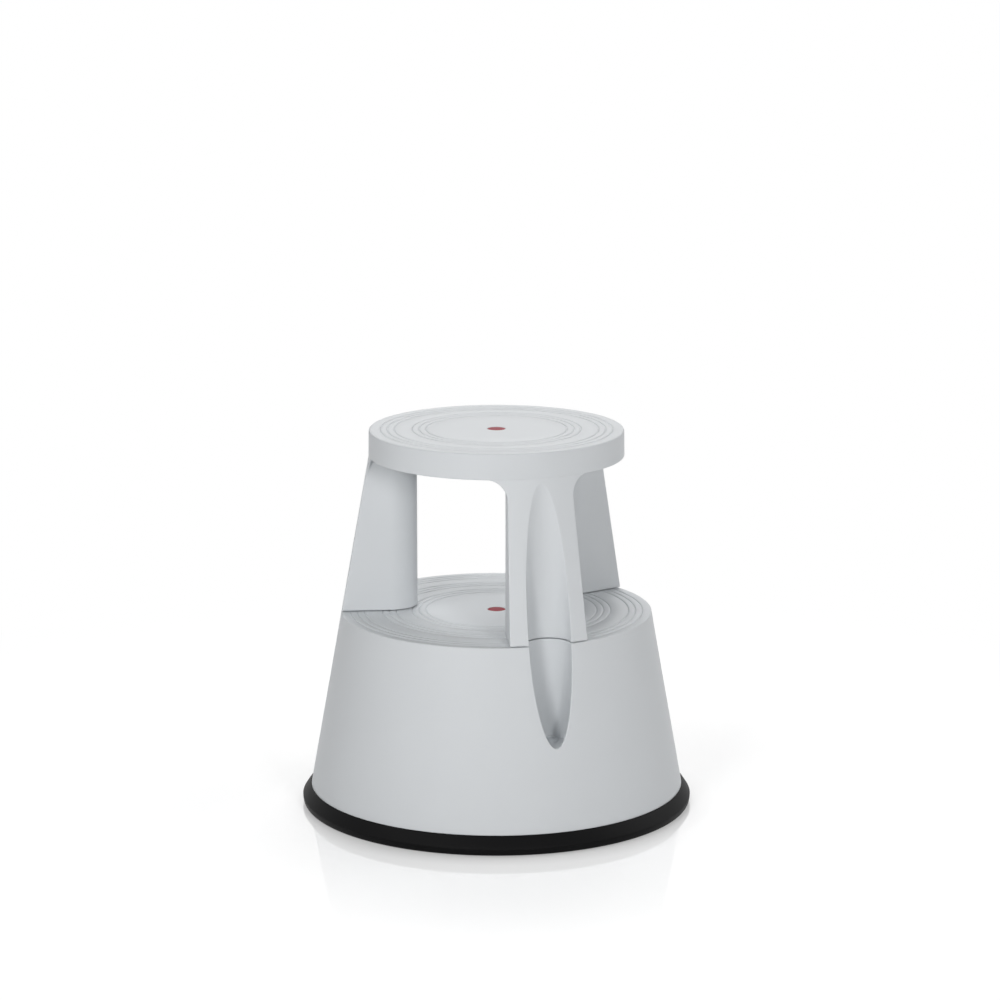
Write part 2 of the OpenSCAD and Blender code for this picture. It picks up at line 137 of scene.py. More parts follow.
def turnZ(degrees):
    return Matrix.Rotation(math.radians(degrees), 4, "Z")


def joined(name, *objects):
    pick(*objects)
    bpy.ops.object.join()
    obj = bpy.context.object
    obj.name = obj.data.name = name
    return obj


def copyAt(pattern, matrix):
    # a copy with its own mesh, moved to its place
    obj = pattern.copy()
    obj.data = pattern.data.copy()
    bpy.context.collection.objects.link(obj)
    return moved(obj, matrix)


def copiesOf(pattern, matrices):
    # a copy at each place, after which the pattern is thrown away
    copies = [copyAt(pattern, matrix) for matrix in matrices]
    bpy.data.objects.remove(pattern)
    return copies


def block(name, lows, highs, corners=None, bevel=0.4):
    # a box between two corners in millimetres; corners may move its eight points; all edges rounded
    bpy.ops.mesh.primitive_cube_add(size=1, calc_uvs=False)
    obj = bpy.context.object
    obj.name = obj.data.name = name
    for v in obj.data.vertices:
        side = [0 if c < 0 else 1 for c in v.co]
        v.co = [(lows[i], highs[i])[side[i]] * mm for i in range(3)]
        if corners:
            v.co = [c * mm for c in corners([c / mm for c in v.co], side)]
    if bevel:
        applied(obj, "BEVEL", width=bevel * mm, segments=2, limit_method="ANGLE")
    return obj


print("stage: measures")
# sizes of the whole stool in millimetres, which several pieces share
stool = {"stoolH": 430, "stepH": 222, "topR": 142.9, "bandR": 143.3, "bandZ": 401, "coneTopR": 143.0, "stepR": 175,
         "plate": 4, "wall": 3.2, "fluteR": 24.5, "fluteTop": 397, "fluteBend": 230, "fluteTip": 111,
         "rimRound": 2, "stepRound": 1.5, "edge": 1.0}
grooveLook = {"count": 3, "pitch": 7.8, "half": 1.6, "deep": 1.0}
slope = (stool["stepR"] - stool["coneTopR"]) / (stool["bandZ"] - stool["stepH"])


def coneR(z):
    return stool["stepR"] + (stool["stepH"] - z) * slope


fluteC = coneR(stool["fluteTop"]) + stool["fluteR"]  # distance of the flutes' upright axis from the middle


def bezier(a, b, c, count):
    a, b, c = np.array(a, float), np.array(b, float), np.array(c, float)
    return [tuple(a * (1 - t) ** 2 + 2 * b * t * (1 - t) + c * t * t)
            for t in np.linspace(0, 1, count + 1)[1:-1]]


def flutePath(width, s):
    # point at length s along the flute's section, from the middle of its back outwards
    quarter = width * math.pi / 2
    if s <= quarter:
        return fluteC - width * math.cos(s / width), width * math.sin(s / width)
    return fluteC + s - quarter, width


def fluteHalf(z, radiusAt, width, edge, inside=14):
    # half of a flute's section at height z, from its back to where its rounded edge meets the cone
    radius = radiusAt(z)
    if radius * radius >= fluteC ** 2 + width ** 2:
        corner = (math.sqrt(radius ** 2 - width ** 2), width)
        length = width * math.pi / 2 + corner[0] - fluteC
    else:
        x = (radius ** 2 + fluteC ** 2 - width ** 2) / (2 * fluteC)
        if x >= radius:  # above the flute's top
            return [(radius, 0.0, z)] * (inside + 5)
        corner = (x, math.sqrt(radius ** 2 - x ** 2))
        length = width * math.atan2(corner[1], fluteC - x)
        edge = min(edge, 0.35 * corner[1])
    points = [(*flutePath(width, (length - edge) * k / inside), z) for k in range(inside + 1)]
    away = corner[1] + edge
    end = (math.sqrt(radius ** 2 - away ** 2), away, z)
    return points + bezier(points[-1], (*corner, z), end, 4) + [end]


def pocketHalf(z, radiusAt, width, edge, lift, bore):
    # half of the pocket's section at height z: its upright bore from the back to the opening, then out to the cone
    v = baseLook
    radius = radiusAt(z)
    x = (radius ** 2 + fluteC ** 2 - bore ** 2) / (2 * fluteC)
    crossing = math.sqrt(max(0.0, radius ** 2 - x ** 2)) if fluteC + bore > radius else 0.0
    if crossing > width:
        corner, reach = (x, crossing), math.atan2(crossing, fluteC - x) - edge / bore
    else:
        corner, reach = (math.sqrt(radius ** 2 - width ** 2), width), math.pi - math.asin(min(1.0, width / bore))
    points = [(fluteC - bore * math.cos(a), bore * math.sin(a), z)
              for a in np.linspace(0, reach, v["backColumns"] + 1)]
    last = points[-1]
    outer = last if crossing > width else (corner[0] - edge, width, z)
    points += [tuple(np.array(last) + (np.array(outer) - np.array(last)) * t)
               for t in np.linspace(0, 1, v["wallColumns"] + 1)[1:]]
    height, away = z + edge * lift[1], corner[1] + edge * lift[0]
    end = (math.sqrt(radiusAt(height) ** 2 - away ** 2), away, height)
    return points + bezier(points[-1], (*corner, z), end, 4) + [end]


def arcOn(radius, fromDeg, toDeg, count, z):
    return [(radius * math.cos(math.radians(a)), radius * math.sin(math.radians(a)), z)
            for a in np.linspace(fromDeg, toDeg, count + 1)[1:]]


def degreesOf(point):
    return math.degrees(math.atan2(point[1], point[0]))


def mirrored(half):
    # the whole outline from its y > 0 half, both ends of which lie on the middle line or are shared
    half = np.array(half, float)
    return np.concatenate([half[:0:-1] * (1, -1, 1), half[:-1]])


def grooveRows(first):
    # (radius, depth) steps across a group of soft round grooves, first being the radius of its inner one
    v = grooveLook
    return [(first + g * v["pitch"] + s * v["half"], v["deep"] * (1 + math.cos(math.pi * s)) / 2)
            for g in range(v["count"]) for s in np.linspace(-1, 1, 9)]


print("stage: base shell")
baseLook = {"lowGrooves": (80, 113, 149), "footZ": 5.2, "rowsUnder": 9, "rowsFlute": 30, "arcColumns": 28,
            "hubR": 14, "hubBore": 8, "hubH": 18, "seatR": 10.3, "seatDeep": 1.7, "stemR": 5.1, "joinR": 140,
            "backColumns": 16, "wallColumns": 4, "notchColumns": 24, "floorRound": 2.5, "notchAngle": 13.0,
            "grooveEnd": 13.3, "grooveFade": 0.8, "rimFlare": 0.6, "floorDrop": 1, "plainRows": (60, 40, 22, 13),
            "underRows": (30, 60, 100, 136)}


def sectorRow(z, radiusAt, width, edge, bore, lift=(1.0, 0.0)):
    half = pocketHalf(z, radiusAt, width, edge, lift, bore)
    half += arcOn(radiusAt(half[-1][2]), degreesOf(half[-1]), 60, baseLook["arcColumns"], half[-1][2])
    return mirrored(half)


def threefold(sector):
    return np.concatenate([turned(sector, a) for a in legAngles])


def pocketRows(top, edge):
    # rows up the pocket, from the rounded rim of its floor to the height top
    a, b, soft = stool["fluteR"], stool["fluteBend"] - stool["fluteTip"], baseLook["floorRound"]
    last = math.acos((stool["fluteBend"] - top) / b)
    rows = []
    for share in np.linspace(0.03, 1, baseLook["rowsFlute"] + 1) ** 1.4:
        t = last * share
        tall = math.hypot(b * math.sin(t), a * math.cos(t))
        lift = (b * math.sin(t) / tall, -a * math.cos(t) / tall)
        z = stool["fluteBend"] - b * math.cos(t)
        rise = min(soft, z - stool["fluteTip"])
        bore = a - soft + math.sqrt(soft ** 2 - (soft - rise) ** 2)
        rows.append(sectorRow(z, coneR, a * math.sin(t), edge, bore, lift))
    return rows


def innerRows(top, low):
    # rows of the hidden side, down the tube round each pocket to the tube's flat bottom
    wall = stool["wall"]
    return [sectorRow(z, lambda h: coneR(h) - wall, widthAt(z, wall), 0.5, stool["fluteR"] + wall)
            for z in np.linspace(top, low, 15)]


def plainRow(z, inset, split=0.0):
    # the columns of a notch share the arc up to the angle split
    radius = coneR(z) - inset
    half = [(radius, 0.0, z)] + arcOn(radius, 0, split, baseLook["notchColumns"], z)
    half += arcOn(radius, split, 60, baseLook["arcColumns"], z)
    return mirrored(half)


def widthAt(z, grow=0.0):
    a, b = stool["fluteR"] + grow, stool["fluteBend"] - stool["fluteTip"] + grow
    return a * math.sqrt(max(0.0, 1 - (max(0.0, stool["fluteBend"] - z) / b) ** 2))


def innerAngles(count):
    # directions in which the columns of one sector cross the circle inside the notches
    inNotch, notch = baseLook["notchColumns"], baseLook["notchAngle"]
    spread = [notch * k / inNotch for k in range(inNotch + 1)]
    spread += list(np.linspace(notch, 60, count // 2 - inNotch + 1)[1:])
    spread = np.array(spread)
    return np.concatenate([-spread[:0:-1], spread[:-1]])


def plateRows(outline, radii, z):
    # rows over the step from its notched outline inwards, with no groove cut across the front of a leg
    angles = innerAngles(len(outline))
    inNotch, join, ends, fade = (baseLook[k] for k in ("notchColumns", "joinR", "grooveEnd", "grooveFade"))
    half = len(outline) // 2
    outerR = max(math.hypot(p[0], p[1]) for p in outline)
    rows = []
    for r, depth in radii:
        row = []
        for k, p in enumerate(outline):
            away = abs(k - half)
            target = math.radians(angles[k])
            if r <= join:
                row.append((r * math.cos(target), r * math.sin(target), z - depth))
                continue
            t = (outerR - r) / (outerR - join)
            if away < inNotch:
                end = (join * math.cos(target), join * math.sin(target))
                row.append((p[0] + (end[0] - p[0]) * t, p[1] + (end[1] - p[1]) * t, z))
            else:
                angle = math.atan2(p[1], p[0])
                angle += (target - angle) * t
                share = min(1.0, max(0.0, (abs(math.degrees(angle)) - ends) / fade))
                row.append((r * math.cos(angle), r * math.sin(angle), z - depth * share))
        rows.append(row)
    return rows


def hubRows(z, v):
    # (radius, height) steps down through the cap's seat and round the hub, ending on the plate's underside
    under, low, seat = z - stool["plate"], z - stool["plate"] - v["hubH"], z - v["seatDeep"]
    hubR, bore, e = v["hubR"], v["hubBore"], 0.6
    return [(v["seatR"] + 0.25, z), (v["seatR"], z - 0.2), (v["seatR"], seat), (v["stemR"], seat),
            (v["stemR"], under), (bore, under), (bore, low + e), (bore + e, low), (hubR - e, low),
            (hubR, low + e), (hubR, under - 2 * e), (hubR + 0.35, under - 0.35), (hubR + 2 * e, under)]


def makeBase(v):
    foot, step, rim, edge = v["footZ"], stool["stepH"], stool["stepRound"], stool["edge"]
    tip = stool["fluteTip"] - edge
    rows = [plainRow(z, 0) for z in np.linspace(foot, tip, v["rowsUnder"] + 1)]
    rows += pocketRows(step - rim, edge)
    for t in np.radians((22.5, 45, 67.5, 90)):
        z = step - rim + rim * math.sin(t)
        radius = coneR(step - rim) - rim * (1 - math.cos(t))
        flare = v["rimFlare"] * (1 - math.cos(t))
        rows.append(sectorRow(z, lambda h: radius, widthAt(z) + flare, edge, stool["fluteR"] + flare))
    outline = rows[-1]
    radii = [(coneR(step - rim) - rim - 0.4, 0)]
    for first in v["lowGrooves"][::-1]:
        radii += grooveRows(first)[::-1]
    radii += [(r, 0) for r in v["plainRows"]]
    rows += plateRows(outline, radii, step)
    angles = np.radians(innerAngles(len(outline)))
    for r, z in hubRows(step, v):
        rows.append([(r * math.cos(a), r * math.sin(a), z) for a in angles])
    under = step - stool["plate"]
    low = stool["fluteTip"] - v["floorDrop"] - stool["wall"]
    inner = innerRows(under, low)
    split = degreesOf(inner[-1][len(inner[-1]) // 2 + v["notchColumns"]])
    for r in v["underRows"]:
        rows.append([(r * math.cos(a), r * math.sin(a), under) for a in angles])
    rows += inner
    rows += [plainRow(z, stool["wall"], split) for z in np.linspace(low, foot, v["rowsUnder"] + 1)]
    return lofted("baseShell", [threefold(row) for row in rows], ringed=True)


def makeRibs(plateLow, v, reachAt):
    # ribs under a plate, from the hub out to the wall
    def outward(point, side):
        return (reachAt(point[2]) if side[0] else point[0], point[1], point[2])

    half, pitch = v["ribT"] / 2, 360 / v["ribs"]
    rib = block("rib", (v["ribStart"], -half, plateLow - v["ribH"]), (100, half, plateLow + 1), outward)
    return copiesOf(rib, [turnZ(pitch * (k + 0.5)) for k in range(v["ribs"])])


casterLook = {"pivotR": 152, "housingR": 24, "housingLow": 64, "housingTop": 120.3, "housingRound": 0.8,
              "flangeBore": 17.1, "stopZ": 80.6, "barrelBore": 12.6, "barrelMouth": 0.9, "seatZ": 116.3,
              "ribT": 2.4, "ribLow": 78}
ribLook = {"ribs": 12, "ribT": 2.4, "ribH": 14, "ribStart": 9}
into = 0.6  # how far webs and ribs reach into the wall they hold on to


def makeHousing(v):
    # guide for one caster's plunger with the webs that hold it, on the swivel axis of a caster at angle 0
    r, low, top, t, e = v["housingR"], v["housingLow"], v["housingTop"], v["ribT"] / 2, v["housingRound"]
    under = stool["stepH"] - stool["plate"]
    profile = [(v["flangeBore"] + 0.6, low)] + arcPoints(r - e, low + e, e, e, -90, 0, 3)
    profile += arcPoints(r - e, top - e, e, e, 0, 90, 3)
    bore, seat, stop, mouth = v["barrelBore"], v["seatZ"], v["stopZ"], v["barrelMouth"]
    profile += [(0.001, top), (0.001, seat), (bore - 0.5, seat), (bore, seat - 0.5), (bore, stop + mouth),
                (bore + mouth, stop), (v["flangeBore"], stop), (v["flangeBore"], low + 0.6)]

    def toWall(point, side):
        return (coneR(point[2]) - stool["wall"] + into - v["pivotR"] if side[0] else point[0], point[1], point[2])

    parts = [spun("housing", profile, 72),
             block("web", (-r, -t, top - 1), (r, t, under + 1), toWall),
             block("web", (-t, -r, top - 1), (t, r, under + 1)),
             block("web", (r - 2, -t, v["ribLow"]), (r, t, top), toWall)]
    return joined("housing", *parts)


housings = copiesOf(makeHousing(casterLook), [turnZ(a) @ Matrix.Translation((casterLook["pivotR"] * mm, 0, 0))
                                              for a in casterAngles])
baseRibs = makeRibs(stool["stepH"] - stool["plate"], ribLook, lambda z: coneR(z) - stool["wall"] + into)
baseShell = smoothed(joined("baseShell", makeBase(baseLook), *housings, *baseRibs), 32)
print("base faces", len(baseShell.data.polygons))

print("stage: upper shell")
legLook = {"halfAngle": 15, "noseR": 32, "cornerR": 24, "seam": 1.35, "seamIn": 6.0, "webT": 2.7, "rootR": 141.8,
           "faceColumns": 12, "webColumns": 6, "sideColumns": 6, "noseColumns": 12,
           "lowRows": (226, 230, 236, 242, 247, 250), "rootRows": (404, 414, 427.5)}


def legRow(z, radiusAt, width, inset, corner=None):
    # section of a leg from its half: flute, outer face, side edge, corner web, side wall and rounded back
    v, edge = legLook, stool["edge"]
    half = fluteHalf(z, radiusAt, width, edge)
    radius = radiusAt(z)
    side = math.radians(v["halfAngle"])
    along, across = np.array((math.cos(side), math.sin(side))), np.array((-math.sin(side), math.cos(side)))
    reach = -inset if corner is None else v["cornerR"] * (1 - math.cos(corner))
    rise = 0.0 if corner is None else edge * math.sin(corner)
    sideways = edge if corner is None else edge * math.cos(corner)

    def onCone(away, height):
        r = radiusAt(height)
        point = along * math.sqrt(r * r - away * away) + across * away
        return (point[0], point[1], height)

    faceEnd = onCone(reach - sideways, z + rise)
    start, end = degreesOf(half[-1]), degreesOf(faceEnd)
    for k, a in enumerate(np.linspace(start, end, v["faceColumns"] + 1)[1:]):
        share = (k + 1) / v["faceColumns"]
        height = z + rise * share * share
        r = radiusAt(height)
        half.append((r * math.cos(math.radians(a)), r * math.sin(math.radians(a)), height))
    tip = onCone(reach, z)
    inward = np.array((*along, 0.0))
    first = tuple(np.array(tip) - inward * edge)
    half += bezier(half[-1], tip, first, 4) + [first]
    behind = tuple(np.array(tip) - inward * v["webT"])
    half += [tuple((np.array(first) + np.array(behind)) / 2), behind]
    backR = math.hypot(behind[0], behind[1])
    root = along * math.sqrt(backR ** 2 - inset ** 2) - across * inset
    for t in np.linspace(0, 1, v["webColumns"] + 1)[1:]:
        a = math.radians(degreesOf(behind) * (1 - t) + degreesOf(root) * t)
        half.append((backR * math.cos(a), backR * math.sin(a), z))
    nose = v["noseR"] - inset
    noseC = v["noseR"] / math.sin(side)
    touch = np.array((noseC - nose * math.sin(side), nose * math.cos(side)))
    for t in np.linspace(0, 1, v["sideColumns"] + 1)[1:]:
        p = root * (1 - t) + touch * t
        half.append((p[0], p[1], z))
    for a in np.linspace(105, 180, v["noseColumns"] + 1)[1:]:
        half.append((noseC + nose * math.cos(math.radians(a)), nose * math.sin(math.radians(a)), z))
    return mirrored(half + [half[-1]])[1:]


def makeLeg(v):
    # from the seam on the lower step up to the root that is hidden inside the band
    step, band, seam, deep = stool["stepH"], stool["bandZ"], v["seam"], v["seamIn"]
    rows = []
    for z, inset in ((step, deep), (step + seam, deep), (step + seam, 0.45), (step + seam + 0.12, 0.15),
                     (step + seam + 0.45, 0)):
        rows.append(legRow(z, lambda h, i=inset: coneR(h) - i, widthAt(z) + inset, inset))
    corner0 = band + 0.3 - v["cornerR"]
    heights = list(v["lowRows"]) + list(np.linspace(v["lowRows"][-1] + 7, corner0 - 6, 17))
    rows += [legRow(z, coneR, widthAt(z), 0) for z in heights]
    for a in np.radians(np.linspace(0, 90, 19)):
        z = corner0 + v["cornerR"] * math.sin(a)
        rows.append(legRow(z, coneR, stool["fluteR"], 0, corner=a))
    rows.append(legRow(band + 2, coneR, stool["fluteR"], 0, corner=math.pi / 2))
    rows += [legRow(z, lambda h: v["rootR"], stool["fluteR"], 0) for z in v["rootRows"]]
    return rows


discLook = {"topGrooves": (79, 114.5), "bandRound": 0.7, "ribsTo": 141.5}


def discProfile(v):
    # upper step with its band, in section: outside from the band's lower edge to the rim, then the face and the hub
    top, band, topR, bandR = stool["stoolH"], stool["bandZ"], stool["topR"], stool["bandR"]
    under, inR, low, rim = top - stool["plate"], bandR - stool["wall"], v["bandRound"], stool["rimRound"]
    profile = [(inR + 0.5, band), (bandR - low, band)] + arcPoints(bandR - low, band + low, low, low, -60, 0, 2)
    profile += [(bandR - 0.05, band + 4), (topR + 0.2, top - 14), (topR + 0.05, top - 4)]
    profile += arcPoints(topR - rim, top - rim, rim, rim, 0, 90, 6) + [(topR - rim - 0.5, top)]
    for first in v["topGrooves"][::-1]:
        profile += [(r, top - d) for r, d in grooveRows(first)[::-1]]
    profile += [(55, top), (30, top), (15, top)] + hubRows(top, baseLook)
    profile += [(inR - 1.0, under), (inR - 0.3, under - 0.3), (inR, under - 1), (inR, band + 0.5)]
    return profile


disc = spun("disc", discProfile(discLook), 240)
legRows = makeLeg(legLook)
legs = [lofted("leg", turned(legRows, a)) for a in legAngles]
upperRibs = makeRibs(stool["stoolH"] - stool["plate"], ribLook, lambda z: discLook["ribsTo"])
upperShell = joined("upperShell", disc, *legs, *upperRibs)
smoothed(upperShell, 32)
print("upper faces", len(upperShell.data.polygons))

print("stage: bumper ring")
ringLook = {"gap": 1.2, "top": 21.6, "mid": 9, "proud": 7.73, "tuck": 2.4, "slope": 1.9, "brim": 1.1, "lip": 3,
            "lipDrop": 4, "foot": 5.2, "fit": 0.1}  # a slope of 1 is a quarter round, 2 a straight slope


def ringProfile(v):
    # outer slope from the brim down to the tuck, flat foot, lip inside the cone's wall and the slot that holds it
    top, mid, gap, fit, curve = v["top"], v["mid"], v["gap"], v["fit"], v["slope"]
    outR, brimR = coneR(mid) + v["proud"], coneR(top) + v["brim"]
    lipR = coneR(top) - stool["wall"] - fit - v["lip"]
    profile = [(coneR(top) + fit, top - 0.3), (coneR(top) + 0.35, top)]
    profile += [(brimR + (outR - brimR) * math.cos(a) ** curve, mid + (top - mid) * math.sin(a) ** curve)
                for a in np.radians(np.linspace(88, 0, 15))]
    profile += arcPoints(outR - v["tuck"], mid, v["tuck"], mid - gap, -12, -90, 7)
    lipTop, slotLow = top - v["lipDrop"], v["foot"] - fit
    profile += [(lipR + 0.6, gap), (lipR, gap + 0.6), (lipR, lipTop - 0.5), (lipR + 0.5, lipTop),
                (coneR(lipTop) - stool["wall"] - fit, lipTop),
                (coneR(v["foot"]) - stool["wall"] - fit, slotLow), (coneR(v["foot"]) + fit, slotLow)]
    return profile


bumper = smoothed(spun("bumperRing", ringProfile(ringLook), 256), 40)

print("stage: caps")
capLook = {"r": 10.2, "head": 1.6, "round": 0.6, "stemR": 5.0, "barbR": 5.5, "barbDown": 4.1, "tipDown": 7.6}


def makeCap(name, z, v):
    # a slightly domed head, and a stem that snaps in under the plate
    r, e, stem, barbR = v["r"], v["round"], v["stemR"], v["barbR"]
    low, barb, tip = z - v["head"], z - v["barbDown"], z - v["tipDown"]
    profile = [(0.001, z), (4, z - 0.03), (7, z - 0.1), (r - 0.9, z - 0.22)]
    profile += arcPoints(r - e, z - 0.25 - e, e, e, 90, 0, 3)
    profile += [(r, low), (stem, low), (stem, barb), (barbR, barb - 0.15), (barbR, barb - 0.9),
                (stem, barb - 1.1), (stem - 0.8, tip), (0.001, tip)]
    return smoothed(spun(name, profile, 64), 32)


caps = [makeCap("upperCap", stool["stoolH"], capLook), makeCap("lowerCap", stool["stepH"], capLook)]

print("stage: screws")
legScrewLook = {"headR": 4, "headH": 2.6, "shaftR": 2, "length": 22, "slot": 1.0, "slotLong": 4.6, "slotDeep": 1.4,
                "out": 114.92, "aside": 24, "z": 218}
coverScrewLook = {"headR": 2.8, "headH": 1.8, "shaftR": 1.5, "length": 14, "slot": 0.8, "slotLong": 3.2,
                  "slotDeep": 1.0, "out": 152, "aside": 20.5, "z": 58}


def makeScrew(v):
    # head downwards, the underside of the head at height 0
    r, h, shaft, long = v["headR"], v["headH"], v["shaftR"], v["length"]
    profile = [(0.001, -h), (r * 0.55, -h)] + arcPoints(r * 0.55, -h * 0.35, r * 0.45, h * 0.65, -75, 0, 5)
    profile += [(r, -0.1), (r - 0.1, 0), (shaft, 0), (shaft, long - 1), (shaft * 0.4, long), (0.001, long)]
    screw = spun("screw", profile, 40)
    a, b = v["slot"] / 2, v["slotLong"] / 2
    cross = [block("cross", (-x, -y, -h - 1), (x, y, v["slotDeep"] - h), bevel=0) for x, y in ((a, b), (b, a))]
    for cutter in cross:
        applied(screw, "BOOLEAN", operation="DIFFERENCE", object=cutter, solver="EXACT")
        bpy.data.objects.remove(cutter)
    return screw


def screwPairs(name, v, angles):
    # a pair of screws at each angle, the cross of each turned differently
    places = [turnZ(a) @ Matrix.Translation([c * mm for c in (v["out"], side * v["aside"], v["z"])])
              for a in angles for side in (-1, 1)]
    screws = copiesOf(makeScrew(v), [place @ turnZ(25 + 40 * k) for k, place in enumerate(places)])
    return smoothed(joined(name, *screws), 35)


legScrews = screwPairs("legScrews", legScrewLook, legAngles)
coverScrews = screwPairs("coverScrews", coverScrewLook, casterAngles)

print("stage: casters")
coverLook = {"r": 24, "bore": 12.55, "low": 58, "top": 64, "round": 0.7, "edge": 0.2}
plungerLook = {"r": 12.5, "low": 44.3, "top": 90.3, "flangeR": 17, "flangeLow": 64.3, "flangeTop": 72.3,
               "bore": 5.55, "boreTop": 65.3, "cupR": 9.3, "cupFloor": 68.3, "round": 0.6, "footRound": 1.2}
forkLook = {"wheelR": 19, "trail": 14, "inR": 20.3, "outR": 22.3, "halfWidth": 18.5, "web": 9.4, "eyeR": 7,
            "socketR": 9.5, "top": 44, "stemR": 5.5, "stemLow": 34, "hoodLow": 21}
wheelLook = {"r": 19, "bore": 3.05, "near": 5.1, "far": 18.1, "edge": 2, "dishR": 14, "dish": 4, "hubR": 6,
             "hubFace": 15.9}
springLook = {"wireR": 0.9, "coilR": 7.8, "turns": 7, "low": 68.3, "top": 116.3, "gap": 0.1, "travel": 8,
              "steps": 36, "sides": 12}
axleLook = {"r": 3, "headR": 4.4, "headIn": 16.2, "headOut": 17.6}


def atCaster(k):
    a = math.radians(casterAngles[k])
    return Matrix.Translation((casterLook["pivotR"] * mm * math.cos(a), casterLook["pivotR"] * mm * math.sin(a), 0))


def alongAxle(side=1):
    # turns a piece spun round Z onto the axle, its height pointing outwards on the given side
    return (Matrix.Translation((0, -forkLook["trail"] * mm, forkLook["wheelR"] * mm))
            @ Matrix.Rotation(side * math.pi / 2, 4, "Y"))


def makeCover(v):
    r, bore, low, top, e, edge = v["r"], v["bore"], v["low"], v["top"], v["round"], v["edge"]
    profile = arcPoints(bore + e, low + e, e, e, 180, 270, 3) + arcPoints(r - e, low + e, e, e, 270, 360, 3)
    profile += [(r, top - edge), (r - edge, top), (bore + edge, top), (bore, top - edge)]
    return spun("cover", profile, 96)


def makePlunger(v):
    # shaft with a flange that holds it in the housing, a bore for the stem below and a cup for the spring above
    e, foot, r, bore, cup = v["round"], v["footRound"], v["r"], v["bore"], v["cupR"]
    flange, flangeLow, flangeTop = v["flangeR"], v["flangeLow"], v["flangeTop"]
    profile = [(bore, v["low"] + e), (bore + e, v["low"])]
    profile += arcPoints(r - foot, v["low"] + foot, foot, foot, -90, 0, 5)
    profile += [(r, flangeLow - e), (r + e, flangeLow)]
    profile += arcPoints(flange - e, flangeLow + e, e, e, -90, 0, 3)
    profile += arcPoints(flange - e, flangeTop - e, e, e, 0, 90, 3)
    profile += [(r + e, flangeTop), (r, flangeTop + e)] + arcPoints(r - e, v["top"] - e, e, e, 0, 90, 3)
    profile += [(cup + e, v["top"]), (cup, v["top"] - e), (cup, v["cupFloor"]), (0.001, v["cupFloor"]),
                (0.001, v["boreTop"]), (bore, v["boreTop"])]
    return spun("plunger", profile, 72)


def makeFork(v):
    # hood over both wheels, web between them and socket for the stem
    wide, inR, outR, hoodLow = v["halfWidth"], v["inR"], v["outR"], v["hoodLow"]
    start = math.degrees(math.asin((hoodLow - v["wheelR"]) / outR))
    section = [(-wide, inR), (-wide, outR), (wide, outR), (wide, inR)]
    rows = [[(x, r * math.cos(a) - v["trail"], max(hoodLow, r * math.sin(a) + v["wheelR"])) for x, r in section]
            for a in np.radians(np.linspace(start, 180 - start, 49))]
    hood = applied(lofted("hood", rows), "BEVEL", width=0.8 * mm, segments=3, limit_method="ANGLE",
                   angle_limit=math.radians(50))
    half, webR, eyeR = v["web"] / 2, inR + 0.5, v["eyeR"]
    outline = [(webR, 0.0)] + arcPoints(0, 0, webR, webR, 3, 177, 40) + [(-webR, 0.0), (-14, 0.0), (-10.5, -0.9)]
    outline += arcPoints(0, 0, eyeR, eyeR, 205, 335, 20) + [(10.5, -0.9), (14, 0.0)]
    rows = [[(x, y - v["trail"], z + v["wheelR"]) for y, z in outline] for x in (-half, half)]
    web = applied(lofted("web", rows), "BEVEL", width=0.6 * mm, segments=3, limit_method="ANGLE",
                  angle_limit=math.radians(60))
    socketR, top, bore = v["socketR"], v["top"], v["stemR"] + 0.05
    profile = [(0.001, hoodLow)] + arcPoints(socketR - 1.5, hoodLow + 1.5, 1.5, 1.5, -90, 0, 4)
    profile += arcPoints(socketR - 1.2, top - 1.2, 1.2, 1.2, 0, 90, 5)
    profile += [(v["stemR"] + 0.6, top), (bore, top - 0.5), (bore, v["stemLow"]), (0.001, v["stemLow"])]
    socket = spun("socket", profile, 64)
    bpy.ops.mesh.primitive_cylinder_add(vertices=128, radius=inR * mm, depth=60 * mm)
    cutter = moved(bpy.context.object, alongAxle())
    applied(socket, "BOOLEAN", operation="DIFFERENCE", object=cutter, solver="EXACT")
    bpy.data.objects.remove(cutter)
    return joined("fork", hood, web, socket)


def makeWheel(v, side):
    # tread between two rounded edges, and a dish with the hub in it on the far face
    e, r, bore, near, far, low = v["edge"], v["r"], v["bore"], v["near"], v["far"], v["far"] - v["dish"]
    dishR, hubR, face, soft = v["dishR"], v["hubR"], v["hubFace"], 0.8
    profile = [(bore, near + 0.3), (bore + 0.3, near)]
    profile += arcPoints(r - e, near + e, e, e, -90, 0, 6) + arcPoints(r - e, far - e, e, e, 0, 90, 6)
    profile += [(dishR + soft, far)] + arcPoints(dishR + soft, far - soft, soft, soft, 120, 180, 2)
    profile += [(dishR - soft, low + soft), (dishR - 2 * soft, low), (hubR + 1, low), (hubR, low + soft),
                (hubR, face - 0.5), (hubR - 0.5, face), (bore, face)]
    return moved(spun("wheel", profile, 96), alongAxle(side))


def makeAxle(v):
    # plain pin with a domed head at both ends
    out = v["headOut"]
    end = [(0.001, out), (2.2, out - 0.05), (3.6, out - 0.3), (v["headR"], out - 0.9), (v["headR"], v["headIn"]),
           (v["r"], v["headIn"])]
    return moved(spun("axle", end + [(r, -z) for r, z in end[::-1]], 40), alongAxle())


def makeSpring(v):
    # coil of round wire with flat ends
    w, turns = v["wireR"], v["turns"]
    low, high, flat = v["low"] + w + v["gap"], v["top"] - w - v["gap"], 2.1 * w
    rows = []
    for t in np.linspace(0, turns, turns * v["steps"] + 1):
        a, z = 2 * math.pi * t, np.interp(t, (0, 1, turns - 1, turns), (low, low + flat, high - flat, high))
        ring = [(v["coilR"] + w * math.cos(s), z + w * math.sin(s))
                for s in np.arange(v["sides"]) * 2 * math.pi / v["sides"]]
        rows.append([(r * math.cos(a), r * math.sin(a), height) for r, height in ring])
    return lofted("spring", rows)


